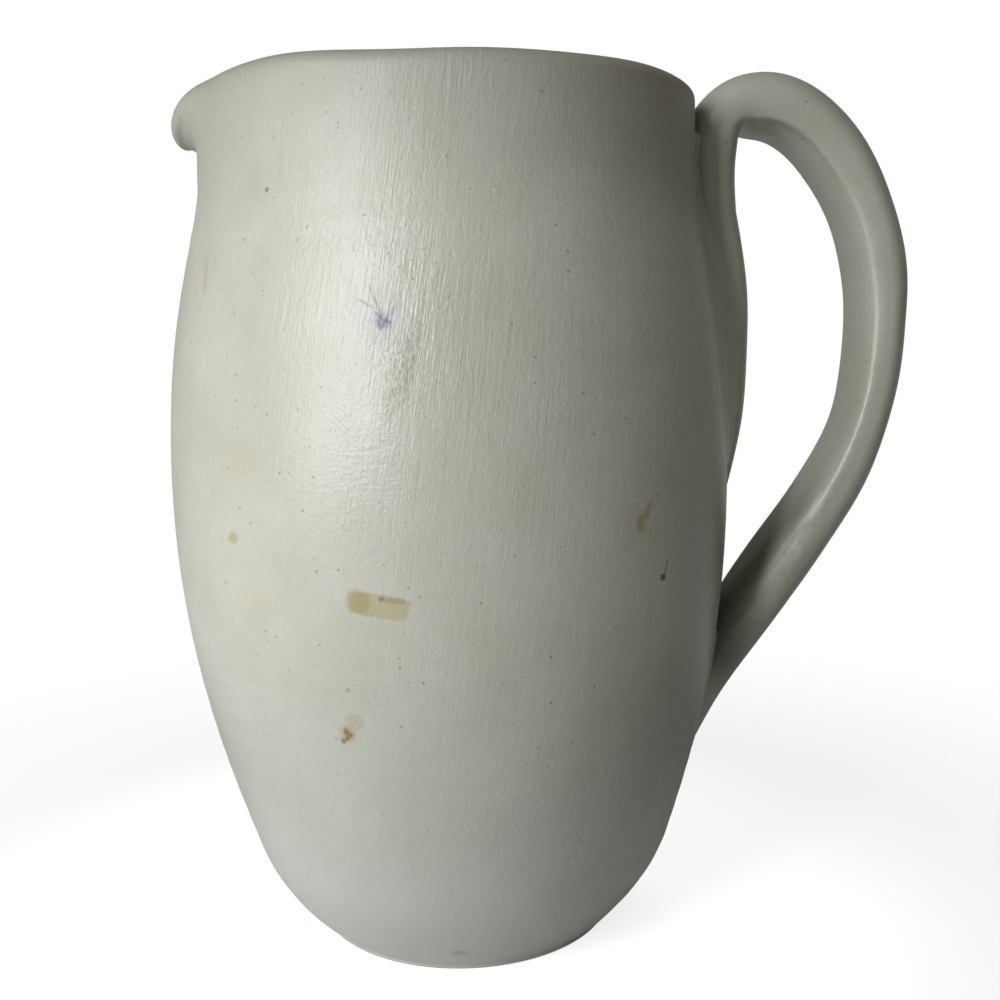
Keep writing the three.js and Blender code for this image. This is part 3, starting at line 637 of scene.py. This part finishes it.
# Luting slip: two layers of wet clay slip bond the strap's ends to the wall. What squeezed out was smeared
# on to the wall with a thumb before glazing, so it shows as a soft bank beside the strap.
SLIP_BED = 0.9  # depth to which the slip is keyed into the scored wall
SLIP_EDGE = 0.6  # depth at which its surface ends in the wall
SLIP_REACH = 24.0  # to each side of the strap's middle
SLIP_COLUMNS = 128
SLIP_ROWS = 150


def slip_bank(name, lowest, highest, proud):
    """A layer of slip on the wall between two heights; proud(heights, across) is how far it stands off."""
    heights = np.linspace(lowest, highest, SLIP_ROWS)[:, None]
    across = np.linspace(-SLIP_REACH, SLIP_REACH, SLIP_COLUMNS)[None, :]
    ends = smooth(lowest, lowest + 3.0, heights) * smooth(highest, highest - 3.0, heights)
    lift = proud(heights, across) * ends - SLIP_EDGE * (1.0 - ends)
    turn = across / wall_radius(heights)
    base = wall_radius(heights) + wall_offset(heights, turn)
    layers = []
    for stand in (np.maximum(lift, -SLIP_EDGE), np.full_like(lift, -SLIP_BED)):
        r = base + stand
        x = r * np.cos(turn) + axis_drift(heights)
        layers.append(np.stack([x, r * np.sin(turn), heights + 0.0 * turn], axis=-1))
    top, bottom = layers
    # Round the four edges the two layers close into one skin: rows of a ring that goes over and back
    ring = np.concatenate([top, bottom[:, ::-1]], axis=1)
    columns = ring.shape[1]
    faces = [*grid_faces(SLIP_ROWS, columns)]
    for first, start in ((0, True), ((SLIP_ROWS - 1) * columns, False)):
        for k in range(SLIP_COLUMNS - 1):
            a, b = first + k, first + k + 1
            c, d = first + columns - 2 - k, first + columns - 1 - k
            faces.append(np.array([d, c, b, a] if start else [a, b, c, d]))
    return piece(name, ring.reshape(-1, 3), faces)


def at_tail(heights, values):
    """A value of the strap's middle line on its upper tail, by height."""
    return np.interp(heights, strap_line[:arch_row, 1], values[:arch_row])


def strap_face(heights, across):
    """How far the finger side of the strap's tail stands off the wall."""
    edge = np.clip(np.abs(across) / at_tail(heights, half_broad), 0.0, 1.0)
    face = at_tail(heights, strap_line[:, 0]) + at_tail(heights, half_thick) * (1.0 - edge ** 2.5) ** 0.4
    return face - np.sqrt(wall_radius(heights) ** 2 - across ** 2)


def tail_fillet(heights, across):
    """Runs off the strap's face in its own slope and down to the wall; near the arch it stays low."""
    start = 0.84 * at_tail(heights, half_broad)
    height = np.maximum(strap_face(heights, start), 0.0)
    slope = (strap_face(heights, start - 0.3) - strap_face(heights, start + 0.3)) / 0.6
    width = np.clip(2.0 * height / slope, 1.5, 12.0)
    filled = 0.2 + 0.8 * smooth(194.0, 150.0, heights)
    beyond = np.clip((np.abs(across) - start) / (width * filled), 0.0, 1.0)
    on_slope = smooth(0.0, 0.25, beyond) * smooth(0.9, 0.5, beyond) * smooth(184.0, 166.0, heights)
    streaks = 0.1 * np.sin(across / 0.9 + heights / 8.0) * on_slope
    under = strap_face(heights, across) - 0.1 - 0.6 * smooth(start, start - 3.0, np.abs(across))
    bank = height * filled * (1.0 - beyond) ** 2 + streaks - 0.5 * smooth(0.85, 1.0, beyond)
    return np.where(np.abs(across) < start, np.minimum(under, bank), bank)


def root_bead(heights, across):
    """A bead less than a millimetre proud that follows the strap's end."""
    half_at = [TIP_BREADTH / 2.0 - 2.0, STRAP_BREADTH / 2.0 - 1.0]
    half = np.interp(heights, [LOWER_TIP_HEIGHT, LOWER_TIP_HEIGHT + 30.0], half_at)
    past_end = np.maximum(LOWER_TIP_HEIGHT + 7.0 - heights, 0.0) + np.maximum(heights - 74.0, 0.0)
    apart = np.hypot(np.maximum(np.abs(across) - half, 0.0), past_end)
    share = np.clip(1.0 - apart / 2.2, 0.0, 1.0)
    return 0.8 * share ** 2 - 0.5 * smooth(0.3, 0.0, share)


upper_slip = slip_bank("upper_slip_bank", 98.0, 199.0, tail_fillet)
lower_slip = slip_bank("lower_slip_bank", 31.0, 80.0, root_bead)

# Glazed slip: the same satin glaze, a little thinner and duller over the smeared clay
slip_glaze, spot, colour, relief = satin_glaze("satin_glaze_on_smeared_slip")
tree = slip_glaze.node_tree
dabs = add(tree, "TexNoise", {"Vector": spot, "Scale": 1.0 / 3.0, "Detail": 2.0})
relief = add(tree, "Math", {0: dabs, 1: 0.1, 2: relief}, operation="MULTIPLY_ADD")
tone_shift = add(tree, "MapRange", {0: dabs, 1: 0.5, 2: 0.8, 3: 0.0, 4: 0.35})
colour = add(tree, "Mix", {0: tone_shift, 6: colour, 7: linear("#b9b19a")}, data_type="RGBA")
coat(slip_glaze, spot, colour, relief, 0.32, 0.42)

for bank, node in ((upper_slip, "upper_luting_slip"), (lower_slip, "lower_luting_slip")):
    bank.data.materials.append(slip_glaze)
    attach(bank, "root")
    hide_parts(node)


# Studio: a white paper sweep under the pitcher, two softboxes close by on the left, a low reflector beside
# them and a lamp behind for the far side. The room is dim. The camera and mirror-like rays see white, and
# the sweep keeps the pitcher's shadow.
bpy.context.scene.view_settings.view_transform = "Standard"
FLOOR_SIZE = 6000.0
MIRRORED = 0.3  # share of the white that the satin glaze mirrors
ROOM_LIGHT = 0.12
WHITE = (1.0, 1.0, 1.0, 1.0)
half = FLOOR_SIZE * MM / 2.0
floor_mesh = bpy.data.meshes.new("white_floor")
floor_corners = [(-half, -half, 0.0), (half, -half, 0.0), (half, half, 0.0), (-half, half, 0.0)]
floor_mesh.from_pydata(floor_corners, [], [(0, 1, 2, 3)])
floor = bpy.data.objects.new("white_floor", floor_mesh)
bpy.context.scene.collection.objects.link(floor)


def seen_share(rays):
    """1 to the camera and through glass, and less in a mirror; 0 to the rays that carry light."""
    in_mirror = add(tree, "Math", {0: rays.outputs["Is Glossy Ray"], 1: MIRRORED}, operation="MULTIPLY")
    seen = add(tree, "Math", {0: rays.outputs["Is Camera Ray"], 1: in_mirror}, operation="MAXIMUM")
    return add(tree, "Math", {0: seen, 1: rays.outputs["Is Transmission Ray"]}, operation="MAXIMUM")


# White paper: matt, bright around the foot, and to the camera brightened to white away from the pitcher
paper = bpy.data.materials.new("matt_white_paper")
paper.use_nodes = True
tree = paper.node_tree
tree.nodes.clear()
rays = add(tree, "LightPath")
far = add(tree, "VectorMath", {0: add(tree, "TexCoord").outputs["Object"]}, operation="LENGTH")
fade = add(tree, "MapRange", {0: far, 1: 0.1, 2: 0.3, 3: 0.0, 4: 1.0}, interpolation_type="SMOOTHSTEP")
whiten = add(tree, "Math", {0: fade, 1: seen_share(rays)}, operation="MULTIPLY")
off_foot = add(tree, "MapRange", {0: far, 1: 0.07, 2: 0.16, 3: 0.0, 4: 1.0}, interpolation_type="SMOOTHSTEP")
sweep_tone = add(tree, "Mix", {0: off_foot, 6: linear("#e0e2e2"), 7: linear("#8a8d8c")}, data_type="RGBA")
matt = add(tree, "BsdfDiffuse", {"Color": sweep_tone})
lift = add(tree, "Math", {0: rays.outputs["Is Camera Ray"], 1: 0.79}, operation="MULTIPLY")
glow = add(tree, "Emission", {"Color": WHITE, "Strength": lift})
near = add(tree, "AddShader", {0: matt, 1: glow})
white = add(tree, "Emission", {"Color": WHITE, "Strength": 1.0})
add(tree, "OutputMaterial", {0: add(tree, "MixShader", {0: whiten, 1: near, 2: white})})
floor_mesh.materials.append(paper)

# The room: white where it is seen, and a dim warm light from all around
world = bpy.data.worlds.new("studio")
bpy.context.scene.world = world
world.use_nodes = True
tree = world.node_tree
tree.nodes.clear()
seen = seen_share(add(tree, "LightPath"))
room_light = add(tree, "Math", {0: seen, 1: ROOM_LIGHT}, operation="MAXIMUM")
room_tone = add(tree, "Mix", {0: seen, 6: linear("#fff7e6"), 7: WHITE}, data_type="RGBA")
backdrop = add(tree, "Background", {"Color": room_tone, "Strength": room_light})
add(tree, "OutputWorld", {0: backdrop})

# The lamps: turn to the left of the front, rise, distance from the aim, height of the aim, width, height,
# watts, and whether the glaze mirrors them. The strip softbox gives the highlight its bright core, and the
# reflector lights the heel.
for name, turn, rise, distance, aim_height, width, tall, watts, is_mirrored in (
        ("softbox", 47.0, 15.0, 550.0, 115.0, 200.0, 430.0, 1.21, True),
        ("strip_softbox", 30.0, 20.0, 550.0, 125.0, 56.0, 370.0, 0.96, True),
        ("reflector", 70.0, 0.0, 240.0, 40.0, 300.0, 76.0, 0.14, False),
        ("far_side_lamp", 180.0, 20.0, 600.0, 110.0, 260.0, 300.0, 0.7, False)):
    lamp_data = bpy.data.lights.new(name, "AREA")
    lamp_data.shape = "RECTANGLE"
    lamp_data.size = width * MM
    lamp_data.size_y = tall * MM
    lamp_data.energy = watts
    lamp = bpy.data.objects.new(name, lamp_data)
    bpy.context.scene.collection.objects.link(lamp)
    turn, rise = math.radians(turn), math.radians(rise)
    lamp_way = Vector((-math.sin(turn) * math.cos(rise), -math.cos(turn) * math.cos(rise), math.sin(rise)))
    lamp.location = Vector((0.0, 0.0, aim_height * MM)) + lamp_way * distance * MM
    lamp.rotation_euler = lamp_way.to_track_quat("Z", "Y").to_euler()
    lamp.visible_camera = False
    lamp.visible_glossy = is_mirrored


# Camera: level with the pitcher's upper belly and close to it, looking slightly down,
# with the pouring lip on the left and the handle on the right.
CAMERA_DISTANCE = 306.6  # in front of the turning axis
CAMERA_HEIGHT = 149.7
CAMERA_PITCH = math.radians(7.77)
CAMERA_YAW = math.radians(-2.15)
CAMERA_ROLL = math.radians(-0.96)

camera = bpy.data.objects.new("camera", bpy.data.cameras.new("camera"))
bpy.context.scene.collection.objects.link(camera)
camera.data.lens = 43.2
camera.data.sensor_width = 36.0
camera.data.clip_start = 0.01
right = Vector((math.cos(CAMERA_YAW), math.sin(CAMERA_YAW), 0.0))
ahead = Vector((-math.sin(CAMERA_YAW), math.cos(CAMERA_YAW), 0.0))
up = Vector((0.0, 0.0, 1.0))
forward = ahead * math.cos(CAMERA_PITCH) - up * math.sin(CAMERA_PITCH)
above = ahead * math.sin(CAMERA_PITCH) + up * math.cos(CAMERA_PITCH)
camera_x = right * math.cos(CAMERA_ROLL) + above * math.sin(CAMERA_ROLL)
camera_y = above * math.cos(CAMERA_ROLL) - right * math.sin(CAMERA_ROLL)
camera.matrix_world = Matrix((camera_x, camera_y, -forward)).transposed().to_4x4()
camera.matrix_world.translation = Vector((0.0, -CAMERA_DISTANCE, CAMERA_HEIGHT)) * MM
bpy.context.scene.camera = camera
